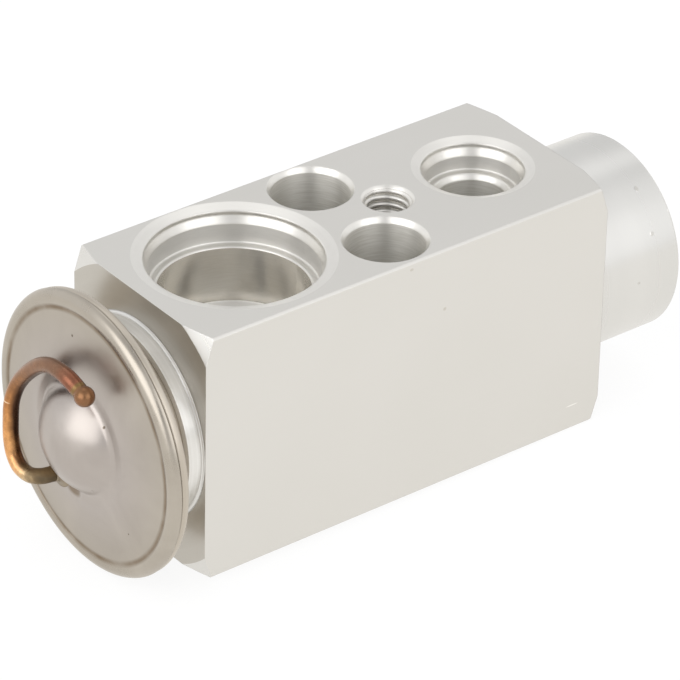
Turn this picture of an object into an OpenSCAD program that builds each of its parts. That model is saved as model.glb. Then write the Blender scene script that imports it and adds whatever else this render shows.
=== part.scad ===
// Block expansion valve for a car air conditioner, in millimetres.
// A turned and drilled aluminium block carries the sealed power head at one end and the
// superheat adjuster in the round boss at the other. Two ports open on each long face.
// Inside this file x runs along the valve axis from the head end face, and z = 0 is the axis.

/* [Block] */
// Length of the block between its two end faces
block_l = 62.1; // [60.5:0.5:68]
// Width of the block
block_w = 27; // [26.8:0.2:32]
// Height of the block, from the evaporator face to the hose face
block_h = 34.2; // [33.2:0.2:40]
// Distance from the valve axis up to the hose face
axis_to_top = 17.2; // [16.4:0.2:19]
// Break on the four long edges
edge_break = 0.25; // [0.1:0.05:0.8]
// Radius at which the turned corner cone starts on an end face
corner_turn_r = 19.2; // [17:0.2:21]
// Slope of the turned corner cone, in degrees back from the end face
corner_turn_angle = 24; // [10:1:45]

/* [Round ends] */
// Diameter of the low collar that the power head sits on
collar_d = 26.2; // [25.4:0.2:26.8]
// Height of that collar
collar_l = 2.1; // [1.9:0.1:4]
// Diameter of the adjuster boss
boss_d = 26; // [20:0.5:26.8]
// Length of the adjuster boss
boss_l = 13.4; // [12.4:0.2:18]
// Chamfer at the mouth and rim of the boss
boss_chamfer = 0.4; // [0.2:0.1:1]

/* [Suction line] */
// Place of the suction ports along the block
suction_x = 14.65; // [14:0.1:15]
// Offset of the suction ports from the middle of the block
suction_y = 0.6; // [0:0.1:0.7]
// Bore that takes the suction pipe
suction_bore_d = 19; // [17:0.2:19.4]
// Distance from the valve axis to the floors of the two suction bores
suction_floor = 4.4; // [4.4:0.1:6]
// Depth of the ledge under the seal of a suction port
suction_ledge_depth = 4.65; // [4:0.05:5]
// Passage that joins the two suction ports
suction_passage_d = 14; // [12:0.5:15]

/* [Liquid line] */
// Distance of the liquid inlet from the boss end face of the block
liquid_end = 10.6; // [10:0.1:11]
// Offset of the liquid inlet, bolt holes and stud hole from the middle of the block
row_y = 0.3; // [0:0.1:0.5]
// Bore that takes the liquid pipe
liquid_bore_d = 9; // [8:0.2:9.6]
// Depth of that bore
liquid_bore_depth = 9; // [7:0.5:9.5]
// Passage from the liquid inlet to the valve chamber
liquid_passage_d = 7; // [5:0.5:7.5]
// Distance of the evaporator feed port from the boss end face of the block
feed_end = 17.5; // [16.5:0.1:17.7]
// Bore that takes the evaporator feed pipe
feed_bore_d = 12.9; // [12.5:0.1:13.5]
// Depth of that bore
feed_bore_depth = 8; // [6:0.5:8.5]
// Passage from the seat down to the feed port
feed_passage_d = 5.6; // [4.5:0.1:5.8]

/* [Port seats] */
// Depth of the shallow outer cone of a port
port_cone_depth = 0.45; // [0.3:0.05:0.8]
// Depth at which the lead-in cone starts
port_lead_depth = 1; // [0.9:0.1:1.8]
// Depth at which the seal wall starts
port_wall_depth = 2.05; // [1.9:0.05:2.6]
// Depth of the ledge under the seal
port_ledge_depth = 3.95; // [3.4:0.05:4.4]
// Depth at which the pipe bore starts
port_bore_start = 4.6; // [4.5:0.1:5.4]

/* [Fixings] */
// Place of the two bolt holes along the block
bolt_x = 31.75; // [31.4:0.05:32]
// Distance between the bolt holes
bolt_pitch = 15.1; // [15:0.1:15.4]
// Diameter of the bolt holes
bolt_d = 5.5; // [5:0.1:6.5]
// Counterbore for the bolt heads
bolt_head_d = 10; // [9.4:0.1:10.2]
// Depth of the counterbore
bolt_head_depth = 11; // [8:0.5:12]
// Place of the threaded stud hole along the block
stud_x = 38; // [37.6:0.1:38.4]
// Thread of the stud hole, drawn at its outer diameter
stud_thread_d = 6; // [5:0.5:6.5]
// Depth of the stud thread
stud_depth = 12; // [8:0.5:12.5]

/* [Power head] */
// Outer diameter of the head
head_d = 37; // [36:0.2:40]
// Distance from the block to the welded seam of the head
seam_x = 7.05; // [6.6:0.05:8]
// Thickness of the pressed cover
cover_t = 1; // [0.8:0.05:1.2]
// Height of the cover face above the seam, next to the lip
cover_edge_h = 0.9; // [0.8:0.05:1]
// Height of the cover face above the seam, at the foot of the dome
cover_foot_h = 1.95; // [1.6:0.05:2.4]
// Radius of the rounded lip
lip_r = 1.3; // [1.25:0.05:1.5]
// Sphere radius of the dome
dome_r = 8.5; // [7.5:0.1:9.5]
// Height of the dome above the cover face
dome_h = 4.05; // [3.2:0.05:4.8]
// Fillet at the foot of the dome
dome_fillet = 1.2; // [0.6:0.1:1.6]
// Thickness of the base flange
base_flange_t = 1.3; // [1:0.05:1.6]
// Diameter of the base's seat on the collar
base_seat_d = 24.4; // [24.2:0.2:25]
// Thread of the head's neck, drawn at its outer diameter
neck_d = 20; // [18:0.5:21]
// Length of the neck below its seat
neck_l = 5.6; // [4:0.1:5.7]
// Bore through the neck
neck_bore_d = 12.4; // [11:0.2:13]
// Thickness of the diaphragm
diaphragm_t = 0.12; // [0.1:0.02:0.2]
// Diameter of the stop plate
plate_d = 22; // [20:0.2:22.4]
// Thickness of the stop plate
plate_t = 1.7; // [1.4:0.1:1.9]

/* [Valve train] */
// Travel of the valve from full open to shut
lift = 0.7; // [0.4:0.05:1]
// Diameter of the sensing rod
rod_d = 5.2; // [4.8:0.1:5.2]
// Bore that lets the suction gas up to the head
gas_way_d = 8.4; // [7.5:0.1:8.4]
// Diameter of the operating pin
pin_d = 2.3; // [1.8:0.1:2.6]
// Diameter of the seat orifice
orifice_d = 3.5; // [3.2:0.1:3.7]
// Diameter of the ball
ball_d = 5.2; // [5.1:0.1:5.6]
// Bore of the valve chamber
chamber_d = 12.4; // [12:0.1:12.8]
// Wire of the return spring
spring_wire_d = 1.4; // [1:0.1:1.6]
// Mean coil diameter of the return spring
spring_d = 7.8; // [7.4:0.1:8.6]
// Turns of the return spring
spring_turns = 4.5; // [4:0.5:5]

/* [Adjuster] */
// Thread of the adjusting screw, drawn at its outer diameter
adjuster_d = 14; // [13.8:0.1:16]
// Length of the adjusting screw
adjuster_l = 9.5; // [8.8:0.1:10]
// Depth of the screw's end below the boss face
adjuster_recess = 4.5; // [4.1:0.1:5]
// Bore for the adjuster seal
seal_bore_d = 13.2; // [13:0.1:13.4]
// Key size of the screw's hexagon socket
hex_af = 5; // [4:0.5:6]
// Depth of the hexagon socket
hex_depth = 4; // [3:0.5:4.5]

/* [Seals and fits] */
// Section of the head seal
head_seal_d = 1.6; // [1.4:0.1:1.7]
// Section of the adjuster seal
adjuster_seal_d = 1.2; // [1:0.1:1.3]
// Radial clearance of turned fits
fit = 0.05; // [0.02:0.01:0.08]
// Gap left where a ball, seal or stop rests on its seat
rest_gap = 0.05; // [0.02:0.01:0.1]

/* [Charging tube] */
// Diameter of the copper charging tube
tube_d = 2; // [1.6:0.1:2.2]
// Diameter of the bead that closes the tube
bead_d = 2.7; // [2.3:0.1:3]

/* [Hidden] */
// Round faces are true circles, and this only sets how finely they preview
$fn = 96;
// Overlap used where one cut runs into another
over = 0.5;
far_cut = 60;

// Block
bottom_z = axis_to_top - block_h;
boss_end_x = block_l + boss_l;
seat_plane_x = -collar_l;
liquid_x = block_l - liquid_end;
feed_x = block_l - feed_end;

// Port seats, each a list of diameters from the outer cone down to the pipe bore
ledge_break = 0.15;
suction_port = [for (step = [6.3, 3.3, 2.3, 2 * ledge_break, 0]) suction_bore_d + step];
liquid_port = [for (step = [6.6, 4.1, 3.1, 1.05, 0]) liquid_bore_d + step];
feed_port = [for (step = [6.5, 4, 3, 1, 0]) feed_bore_d + step];
floor_cone = [0.9, 0.45];
bolt_chamfer = [0.5, 0.75];
stud_chamfer = 0.37;
drill_point = 1.2;

// Power head, all heights measured from the block's end face towards the head
head_r = head_d / 2;
flange_x = -seam_x;
lip_behind = 0.2;
lip_c = [head_r - lip_r, flange_x + lip_behind];
foot_x = flange_x - cover_foot_h;
dome_c = foot_x - dome_h + dome_r;
fillet_r = sqrt(pow(dome_r + dome_fillet, 2) - pow(dome_c - foot_x + dome_fillet, 2));
fillet_c = [fillet_r, foot_x - dome_fillet];
inner_foot_x = foot_x + cover_t;
inner_dome_r = dome_r - cover_t;
inner_foot_r = sqrt(pow(inner_dome_r, 2) - pow(dome_c - inner_foot_x, 2));
cover_inner_r = lip_c[0] - 2;

base_face_x = flange_x + diaphragm_t;
base_back_x = base_face_x + base_flange_t;
plate_drop = 0.43;
plate_bevel = 0.4;
plate_top_x = base_face_x + plate_drop;
plate_back_x = plate_top_x + plate_t;
base_floor_x = plate_back_x + rest_gap;
pocket_r = plate_d / 2 + 0.4;
pocket_mouth_r = pocket_r + 2.8;
base_r = head_r - 0.1;
base_front_edge_r = 0.22 * base_flange_t;
base_back_edge_r = 0.6 * base_flange_t;
base_shoulder_r = pocket_mouth_r + 2;
base_web_r = pocket_mouth_r + 0.6;
base_seat_l = 0.8;
pocket_mouth_depth = 0.9;
neck_chamfer = 0.5;
neck_end_x = seat_plane_x + neck_l;
neck_hole_x = neck_end_x + 0.4;
seal_pocket_r = neck_d / 2 + head_seal_d + 0.3;
seal_pocket_depth = head_seal_d + 0.1;

// Valve train at rest, which is full open
rod_r = rod_d / 2;
rod_chamfer = 0.3;
rod_seal_d = 1.4;
rod_recess_r = rod_r + rod_seal_d + 2 * fit;
rod_recess_l = 3.5;
rod_guide_l = 5.3;
rod_end_play = 1;
rod_recess_x = suction_x + suction_passage_d / 2 + rod_recess_l;
rod_bore_end_x = rod_recess_x + rod_guide_l;
rod_end_x = rod_bore_end_x - rod_end_play;
hub_r = rod_r + 1.8;
hub_l = 2;
rod_start_x = plate_top_x + 1;
retainer_t = 0.4;
retainer_x = rod_recess_x - rod_seal_d - 2 * rest_gap - retainer_t;
retainer_teeth = 8;
retainer_slot_w = 0.6;
retainer_web = 0.5;
pin_socket = 2;
seat_x = feed_x + 1;
feed_passage_x = seat_x - 1.6 - feed_passage_d / 2;
seat_mouth_r = orifice_d / 2 + 0.45;
ball_r = ball_d / 2;
ball_x = seat_x - seat_mouth_r + ball_r / sin(45) + lift + 0.02;
carrier_x = ball_x + 1;
carrier_flange_r = 4.6;
carrier_back_x = ball_x + ball_r + 1.2;
spring_bore_r = (spring_d - spring_wire_d) / 2;
spigot_r = spring_bore_r - 0.4;
spigot_chamfer = 0.4;
carrier_bevel = 1.2;
carrier_spigot_l = 2.5;
clip_t = 0.3;
clip_legs = 4;
clip_leg_w = 1.6;
clip_reach = 2.6;
clip_tab = 0.6;
spring_start_x = carrier_back_x + clip_t;

// Adjuster
adjuster_end_x = boss_end_x - adjuster_recess;
adjuster_face_x = adjuster_end_x - adjuster_l;
adjuster_front_l = 4;
adjuster_travel = 1;
seal_bore_x = adjuster_face_x - adjuster_travel - 0.6;
thread_start_x = adjuster_face_x + adjuster_front_l - adjuster_travel - 0.4;
front_r = seal_bore_d / 2 - fit;
groove_r = seal_bore_d / 2 - adjuster_seal_d - 2 * fit;
screw_chamfer = 0.3;
screw_end_chamfer = 0.6;
groove_x = adjuster_face_x + 0.8;
groove_w = adjuster_seal_d + 0.6;
adjuster_spigot_l = 2.5;

// Charging tube, as points that its middle line passes through, foot first. Each is the height
// over the cover's face at the dome's foot, then the place across the head.
tube_r = tube_d / 2;
tube_foot = [4, -6.8];
tube_points = [
    [-0.9, tube_foot[0], tube_foot[1]], [0.2, tube_foot[0], tube_foot[1]],
    [1.4, 4.05, -6.8], [2.5, 4.7, -7], [3, 6.3, -7.4], [3.3, 7.9, -6.9], [3.3, 9.1, -5.6],
    [3.3, 9.6, -3.6], [3.1, 9.9, -1.3], [2.8, 10.1, 0.9], [2.5, 9.7, 2.9], [2.3, 8.7, 4.8],
    [2.3, 6.8, 7], [2.4, 4.5, 9], [2.5, 2.2, 10.2], [2.6, 0, 10.6], [2.6, -1.7, 10.5],
    [2.5, -3.2, 10], [2.5, -4.9, 9.5]];
tube_line = [for (p = tube_points) [foot_x - p[0], p[1], p[2]]];
tube_steps = 3;
tube_sides = 12;
bead_rings = 7;
tube_front_x = min([for (p = tube_line) p[0]]) - tube_r;

// Where the valve stands: the foot of the head touches the ground, midway along the length
front_x = min(tube_front_x, foot_x - dome_h);
mid_x = (boss_end_x + front_x) / 2;

// Frame: from valve coordinates to the part's own
module in_place() translate([-mid_x, 0, head_r]) children();

// Turned form about the valve axis, from a profile of [radius, x]
module turned() rotate([0, 90, 0]) rotate_extrude() children();

// Round bar or bore along the valve axis
module bar(r, x0, x1) translate([x0, 0, 0]) rotate([0, 90, 0]) cylinder(r = r, h = x1 - x0);

// Ring of round section about the valve axis
module ring(mean_r, section_d, x) turned() translate([mean_r, x]) circle(d = section_d);

// Points along an arc about c in a profile, from angle a to angle b
function arc(c, r, a, b, n) = [for (i = [0 : n]) let (t = a + (b - a) * i / n) c + r * [cos(t), sin(t)]];

// Upright bore between two heights
module bore(x, y, d, z0, z1) translate([x, y, z0]) cylinder(d = d, h = z1 - z0);

// Port cut downwards from a face at z = 0: shallow cone, step, lead-in, seal wall, ledge, bore and
// the cone that the tool leaves at the bore's floor
module port_cut(d, depth, ledge = port_ledge_depth, start = port_bore_start) {
    r = d / 2;
    rotate_extrude()
        polygon([[0, over], [r[0], over], [r[0], 0], [r[1], -port_cone_depth], [r[1], -port_lead_depth],
            [r[2], -port_wall_depth], [r[2], -ledge + ledge_break], [r[2] - ledge_break, -ledge],
            [r[3], -ledge], [r[4], -start], [r[4], -depth + floor_cone[1]],
            [r[4] - floor_cone[0], -depth], [0, -depth]]);
}

// Suction port, cut downwards from a face at z = 0 to the floor that leaves the middle web
module suction_cut(face) port_cut(suction_port, face - suction_floor, suction_ledge_depth,
    suction_ledge_depth + ledge_break);

// Bolt hole with its counterbore and chamfer, cut from the hose face
module bolt_cut() {
    r = bolt_head_d / 2;
    rotate_extrude()
        polygon([[0, over], [r + bolt_chamfer[0], over], [r + bolt_chamfer[0], 0], [r, -bolt_chamfer[1]],
            [r, -bolt_head_depth], [bolt_d / 2, -bolt_head_depth], [bolt_d / 2, -far_cut], [0, -far_cut]]);
}

// Blind stud hole with its chamfer and drill point
module stud_cut() {
    r = stud_thread_d / 2;
    rotate_extrude()
        polygon([[0, over], [r + stud_chamfer, over], [r + stud_chamfer, 0], [r, -stud_chamfer],
            [r, -stud_depth], [0, -stud_depth - drill_point]]);
}

// Extruded bar of the block, with broken long edges
module block_bar() {
    y = block_w / 2;
    e = edge_break;
    rotate([90, 0, 90]) linear_extrude(block_l)
        polygon([[-y + e, bottom_z], [y - e, bottom_z], [y, bottom_z + e], [y, axis_to_top - e],
            [y - e, axis_to_top], [-y + e, axis_to_top], [-y, axis_to_top - e], [-y, bottom_z + e]]);
}

// Envelope left by turning the block's ends: it takes off the corners as a cone
module turned_envelope() {
    rise = tan(corner_turn_angle) * far_cut;
    turned() polygon([[0, 0], [corner_turn_r, 0], [corner_turn_r + far_cut, rise],
        [corner_turn_r + far_cut, block_l - rise], [corner_turn_r, block_l], [0, block_l]]);
}

// Everything bored along the valve axis from the head end
module head_end_bores() {
    bar(neck_d / 2 + fit, seat_plane_x - over, neck_hole_x);
    bar(seal_pocket_r, seat_plane_x - over, seat_plane_x + seal_pocket_depth);
    bar(gas_way_d / 2, neck_hole_x - over, suction_x);
    bar(rod_recess_r, suction_x, rod_recess_x);
    bar(rod_r + fit, rod_recess_x - over, rod_bore_end_x);
    bar(pin_d / 2 + fit, rod_bore_end_x - over, feed_passage_x);
}

// Everything bored along the valve axis from the boss end, and the seat
module boss_end_bores() {
    mouth_r = adjuster_d / 2 + fit;
    bar(orifice_d / 2, feed_passage_x, seat_x + over);
    turned() polygon([[0, seat_x - seat_mouth_r], [seat_mouth_r, seat_x],
        [seat_mouth_r, seat_x + over], [0, seat_x + over]]);
    bar(chamber_d / 2, seat_x, seal_bore_x + over);
    bar(seal_bore_d / 2, seal_bore_x, thread_start_x + over);
    bar(mouth_r, thread_start_x, boss_end_x + over);
    turned() polygon([[0, boss_end_x - boss_chamfer], [mouth_r, boss_end_x - boss_chamfer],
        [mouth_r + boss_chamfer, boss_end_x], [mouth_r + boss_chamfer, boss_end_x + over],
        [0, boss_end_x + over]]);
}

module valve_body() color("silver") in_place() difference() {
    union() {
        intersection() {
            block_bar();
            turned_envelope();
        }
        bar(collar_d / 2, seat_plane_x, over);
        turned() polygon([[0, block_l - over], [boss_d / 2, block_l - over],
            [boss_d / 2, boss_end_x - boss_chamfer], [boss_d / 2 - boss_chamfer, boss_end_x],
            [0, boss_end_x]]);
    }
    translate([suction_x, suction_y, axis_to_top]) suction_cut(axis_to_top);
    translate([suction_x, suction_y, bottom_z]) mirror([0, 0, 1]) suction_cut(-bottom_z);
    bore(suction_x, suction_y, suction_passage_d, bottom_z + over, axis_to_top - over);
    translate([liquid_x, row_y, axis_to_top]) port_cut(liquid_port, liquid_bore_depth);
    bore(liquid_x, row_y, liquid_passage_d, 0, axis_to_top - liquid_bore_depth + over);
    translate([feed_x, row_y, bottom_z]) mirror([0, 0, 1]) port_cut(feed_port, feed_bore_depth);
    bore(feed_passage_x, 0, feed_passage_d, bottom_z + feed_bore_depth - over, orifice_d / 2);
    for (side = [-1, 1])
        translate([bolt_x, row_y + side * bolt_pitch / 2, axis_to_top]) bolt_cut();
    translate([stud_x, row_y, axis_to_top]) stud_cut();
    head_end_bores();
    boss_end_bores();
}

// Pressed steel cover: dome with a filleted foot, slightly crowned face, rounded lip
module head_cover() color("darkgray") in_place() difference() {
    foot_angle = asin(fillet_r / (dome_r + dome_fillet));
    inner_angle = asin(inner_foot_r / inner_dome_r);
    edge_angle = asin((cover_edge_h + lip_behind) / lip_r);
    seam_angle = asin(lip_behind / lip_r);
    turned() polygon(concat(
        arc([0, dome_c], dome_r, -90, -90 + foot_angle, 12),
        arc(fillet_c, dome_fillet, 90 + foot_angle, 90, 6),
        arc(lip_c, lip_r, 180 + edge_angle, 360 - seam_angle, 12),
        [[cover_inner_r, flange_x]],
        arc([0, dome_c], inner_dome_r, -90 + inner_angle, -90, 10)));
    translate([foot_x - dome_h, tube_foot[0], tube_foot[1]]) rotate([0, 90, 0])
        cylinder(r = tube_r + fit, h = dome_h + 2 * cover_t);
}

// Thin steel disc welded between the two flanges, pressed down onto the stop plate
module diaphragm() color("lightgray") in_place() {
    rim_r = head_r - 0.3;
    bend_r = pocket_mouth_r - 0.6;
    flat_r = plate_d / 2 - 0.5;
    waves = 2;
    wave_h = 0.06;
    steps = 4 * waves;
    slope = [for (i = [0 : steps]) [bend_r + (flat_r - bend_r) * i / steps,
        flange_x + plate_drop * i / steps + (i % 2 == 0 ? 0 : wave_h * (i % 4 - 2))]];
    turned() polygon(concat([[rim_r, flange_x]], slope, [[0, flange_x + plate_drop],
        [0, base_face_x + plate_drop]], [for (i = [steps : -1 : 0]) slope[i] + [0, diaphragm_t]],
        [[rim_r, base_face_x]]));
}

// Turned steel base: welded flange, pocket for the stop plate, seat and threaded neck
module head_base() color("gray") in_place() turned() difference() {
    union() {
        polygon(concat([[0, base_face_x]],
            arc([base_r - base_front_edge_r, base_face_x + base_front_edge_r], base_front_edge_r, -90, 0, 4),
            arc([base_r - base_back_edge_r, base_back_x - base_back_edge_r], base_back_edge_r, 0, 90, 8),
            [[0, base_back_x]]));
        polygon([[0, base_back_x - over], [base_shoulder_r, base_back_x - over],
            [base_shoulder_r, base_back_x], [base_web_r, base_back_x],
            [base_seat_d / 2, seat_plane_x - base_seat_l], [base_seat_d / 2, seat_plane_x],
            [neck_d / 2, seat_plane_x], [neck_d / 2, neck_end_x - neck_chamfer],
            [neck_d / 2 - neck_chamfer, neck_end_x], [0, neck_end_x]]);
    }
    polygon([[0, base_face_x - over], [pocket_mouth_r, base_face_x - over],
        [pocket_mouth_r, base_face_x], [pocket_r, base_face_x + pocket_mouth_depth], [pocket_r, base_floor_x],
        [neck_bore_d / 2, base_floor_x], [neck_bore_d / 2, neck_end_x + over], [0, neck_end_x + over]]);
}

// Rubber ring round the neck, under the base's seat
module head_seal() color("dimgray") in_place()
    ring(neck_d / 2 + 0.1 + head_seal_d / 2, head_seal_d, seat_plane_x + seal_pocket_depth / 2);

// Stop plate under the diaphragm, with the hub that holds the rod
module stop_plate() color("lightsteelblue") in_place() turned()
    polygon([[0, plate_top_x], [plate_d / 2 - plate_bevel, plate_top_x],
        [plate_d / 2, plate_top_x + plate_bevel],
        [plate_d / 2, plate_back_x], [hub_r, plate_back_x], [hub_r, plate_back_x + hub_l],
        [rod_r + fit, plate_back_x + hub_l], [rod_r + fit, rod_start_x], [0, rod_start_x]]);

// Sensing rod: crosses the suction gas and drives the pin
module sensing_rod() color("silver") in_place() turned()
    polygon([[0, rod_start_x], [rod_r - rod_chamfer, rod_start_x], [rod_r, rod_start_x + rod_chamfer],
        [rod_r, rod_end_x - rod_chamfer], [rod_r - rod_chamfer, rod_end_x], [pin_d / 2 + fit, rod_end_x],
        [pin_d / 2 + fit, rod_end_x - pin_socket], [0, rod_end_x - pin_socket]]);

module rod_seal() color("dimgray") in_place()
    ring(rod_r + fit + rod_seal_d / 2, rod_seal_d, rod_recess_x - rod_seal_d / 2 - rest_gap);

// Toothed washer that keeps the rod seal in its recess
module seal_retainer() color("goldenrod") in_place() difference() {
    bar(rod_recess_r - fit, retainer_x, retainer_x + retainer_t);
    bar(rod_r + 2 * fit, retainer_x - over, retainer_x + retainer_t + over);
    for (i = [0 : retainer_teeth - 1])
        rotate([i * 360 / retainer_teeth, 0, 0])
            translate([retainer_x - over, -retainer_slot_w / 2, rod_r + 2 * fit + retainer_web])
                cube([retainer_t + 2 * over, retainer_slot_w, rod_seal_d]);
}

module operating_pin() color("gainsboro") in_place()
    bar(pin_d / 2, rod_end_x - pin_socket, ball_x - ball_r);

module valve_ball() color("gainsboro") in_place() translate([ball_x, 0, 0]) sphere(ball_r);

// Cup that carries the ball and centres the spring
module ball_carrier() color("silver") in_place() difference() {
    spigot_end_x = carrier_back_x + carrier_spigot_l;
    turned() polygon([[0, carrier_x], [carrier_flange_r - carrier_bevel, carrier_x],
        [carrier_flange_r, carrier_x + carrier_bevel], [carrier_flange_r, carrier_back_x],
        [spigot_r, carrier_back_x], [spigot_r, spigot_end_x - spigot_chamfer],
        [spigot_r - spigot_chamfer, spigot_end_x], [0, spigot_end_x]]);
    translate([ball_x, 0, 0]) sphere(ball_r + fit);
}

// Sheet steel clip whose legs rub on the chamber wall and damp chatter
module damping_clip() color("lightgray") in_place() {
    leg_r = chamber_d / 2 - 4 * fit - clip_t;
    difference() {
        bar(carrier_flange_r, carrier_back_x, carrier_back_x + clip_t);
        bar(spigot_r + fit, carrier_back_x - over, carrier_back_x + clip_t + over);
    }
    for (i = [0 : clip_legs - 1])
        rotate([45 + i * 360 / clip_legs, 0, 0]) {
            translate([carrier_back_x, -clip_leg_w / 2, carrier_flange_r - clip_tab])
                cube([clip_t, clip_leg_w, leg_r + clip_t / 2 - carrier_flange_r + clip_tab]);
            translate([carrier_back_x - clip_reach, -clip_leg_w / 2, leg_r])
                cube([clip_reach + clip_t, clip_leg_w, clip_t]);
        }
}

// Points on a circle of radius r about point p, square to direction d. The row axis that d
// leans least towards sets where the circle starts.
function cross_axis(d) = abs(d[0]) < 0.9 ? [1, 0, 0] : [0, 1, 0];
function unit(v) = v / norm(v);
function hoop(p, d, r, sides) =
    let (u = unit(cross(d, cross_axis(d))), v = cross(unit(d), u))
    [for (i = [0 : sides - 1]) p + r * (u * cos(360 * i / sides) + v * sin(360 * i / sides))];

// Closed skin through a row of hoops with the same number of points
module skin(hoops) {
    n = len(hoops[0]);
    last = len(hoops) - 1;
    points = [for (hoop_points = hoops) for (p = hoop_points) p];
    sides = [for (k = [0 : last - 1]) for (i = [0 : n - 1])
        [k * n + i, (k + 1) * n + i, (k + 1) * n + (i + 1) % n, k * n + (i + 1) % n]];
    ends = [[for (i = [0 : n - 1]) i], [for (i = [n - 1 : -1 : 0]) last * n + i]];
    polyhedron(points = points, faces = concat(sides, ends), convexity = 6);
}

// Spring wire: the first and last turns are closed and the middle turns are open
module return_spring() color("lightgray") in_place() {
    wire_r = spring_wire_d / 2;
    closed_pitch = spring_wire_d + 0.1;
    start_x = spring_start_x + rest_gap + wire_r;
    length = adjuster_face_x - rest_gap - wire_r - start_x;
    open_pitch = (length - 2 * closed_pitch) / (spring_turns - 2);
    per_turn = 16;
    count = spring_turns * per_turn;
    line = [for (i = [0 : count]) let (u = i / per_turn)
        [start_x + closed_pitch * min(u, 1) + open_pitch * min(max(u - 1, 0), spring_turns - 2)
            + closed_pitch * max(u - spring_turns + 1, 0),
            spring_d / 2 * cos(360 * u), spring_d / 2 * sin(360 * u)]];
    skin([for (i = [0 : count])
        hoop(line[i], line[min(i + 1, count)] - line[max(i - 1, 0)], wire_r, 8)]);
}

// Adjusting screw: spring spigot, sealed front, threaded body and hexagon socket
module adjusting_screw() color("goldenrod") in_place() difference() {
    screw_r = adjuster_d / 2;
    spigot_end_x = adjuster_face_x - adjuster_spigot_l;
    thread_x = adjuster_face_x + adjuster_front_l;
    turned() polygon([[0, spigot_end_x], [spigot_r - spigot_chamfer, spigot_end_x],
        [spigot_r, spigot_end_x + spigot_chamfer], [spigot_r, adjuster_face_x],
        [front_r - screw_chamfer, adjuster_face_x], [front_r, adjuster_face_x + screw_chamfer],
        [front_r, groove_x], [groove_r, groove_x], [groove_r, groove_x + groove_w],
        [front_r, groove_x + groove_w], [front_r, thread_x], [screw_r - screw_chamfer, thread_x],
        [screw_r, thread_x + screw_chamfer], [screw_r, adjuster_end_x - screw_end_chamfer],
        [screw_r - screw_end_chamfer, adjuster_end_x], [0, adjuster_end_x]]);
    translate([adjuster_end_x - hex_depth, 0, 0]) rotate([0, 90, 0])
        cylinder(d = hex_af / cos(30), h = hex_depth + over, $fn = 6);
}

module adjuster_seal() color("dimgray") in_place()
    ring(seal_bore_d / 2 - fit - adjuster_seal_d / 2, adjuster_seal_d, groove_x + groove_w / 2);

// Smooth line through the tube's points
function spline(a, b, c, d, t) = b + 0.5 * t * ((c - a)
    + t * (2 * a - 5 * b + 4 * c - d + t * (3 * (b - c) + d - a)));
function smooth_line(p, steps) = [for (i = [0 : len(p) - 2]) for (k = [0 : steps - 1])
    spline(p[max(i - 1, 0)], p[i], p[i + 1], p[min(i + 2, len(p) - 1)], k / steps)];

// Bent copper tube, closed at its free end by a round bead
module charging_tube() color("peru") in_place() {
    line = concat(smooth_line(tube_line, tube_steps), [tube_line[len(tube_line) - 1]]);
    last = len(line) - 1;
    tip = line[last];
    way = unit(line[last] - line[last - 1]);
    bead_r = bead_d / 2;
    start = asin(tube_r / bead_r);
    tube = [for (i = [0 : last - 2]) let (d = line[min(i + 1, last)] - line[max(i - 1, 0)])
        hoop(line[i], d, tube_r, tube_sides)];
    bead = [for (k = [0 : bead_rings]) let (a = start + (176 - start) * k / bead_rings)
        hoop(tip - way * bead_r * cos(a), way, bead_r * sin(a), tube_sides)];
    skin(concat(tube, bead));
}

valve_body();
head_cover();
diaphragm();
head_base();
head_seal();
charging_tube();
stop_plate();
sensing_rod();
rod_seal();
seal_retainer();
operating_pin();
valve_ball();
ball_carrier();
damping_clip();
return_spring();
adjusting_screw();
adjuster_seal();
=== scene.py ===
import bmesh
import bpy
from math import asin, cos, degrees, hypot, pi, radians, sin, sqrt
from mathutils import Matrix, Quaternion, Vector


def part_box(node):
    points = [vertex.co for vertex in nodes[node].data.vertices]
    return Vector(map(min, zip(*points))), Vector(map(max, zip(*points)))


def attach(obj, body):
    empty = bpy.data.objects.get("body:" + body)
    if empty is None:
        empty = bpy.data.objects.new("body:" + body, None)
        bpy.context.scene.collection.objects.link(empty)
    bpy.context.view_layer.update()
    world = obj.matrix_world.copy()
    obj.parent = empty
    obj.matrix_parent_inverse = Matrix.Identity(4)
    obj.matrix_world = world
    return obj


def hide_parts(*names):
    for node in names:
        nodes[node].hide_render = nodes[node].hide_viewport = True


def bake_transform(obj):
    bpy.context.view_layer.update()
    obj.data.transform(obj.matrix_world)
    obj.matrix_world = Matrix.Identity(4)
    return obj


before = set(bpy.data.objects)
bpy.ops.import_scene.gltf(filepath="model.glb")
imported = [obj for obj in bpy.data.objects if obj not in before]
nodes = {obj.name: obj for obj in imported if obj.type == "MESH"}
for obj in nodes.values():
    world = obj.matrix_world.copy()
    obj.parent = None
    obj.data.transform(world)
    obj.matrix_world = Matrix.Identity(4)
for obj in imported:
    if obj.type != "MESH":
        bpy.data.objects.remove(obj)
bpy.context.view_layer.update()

# Places are given in valve millimetres: x along the valve axis from the block's head end
# face, y across, z above the axis. place() takes them to the row frame in metres.
MM = 0.001
HEAD_END_X = -31.1
AXIS_Z = 18.5


def place(x, y, z):
    return Vector((x + HEAD_END_X, y, z + AXIS_Z)) * MM


AXIS = place(0, 0, 0)

# Block: its length, width and port faces, the boss's end, the collar, and the holes as (x, y)
BLOCK_L, BLOCK_W, TOP, BOTTOM = 62.1, 27, 17.2, -17
BOSS_END = 75.5
COLLAR_R = 13.1
LIQUID, STUD = (51.5, 0.3), (38, 0.3)
BOLTS = [(31.75, -7.25), (31.75, 7.85)]

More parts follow.
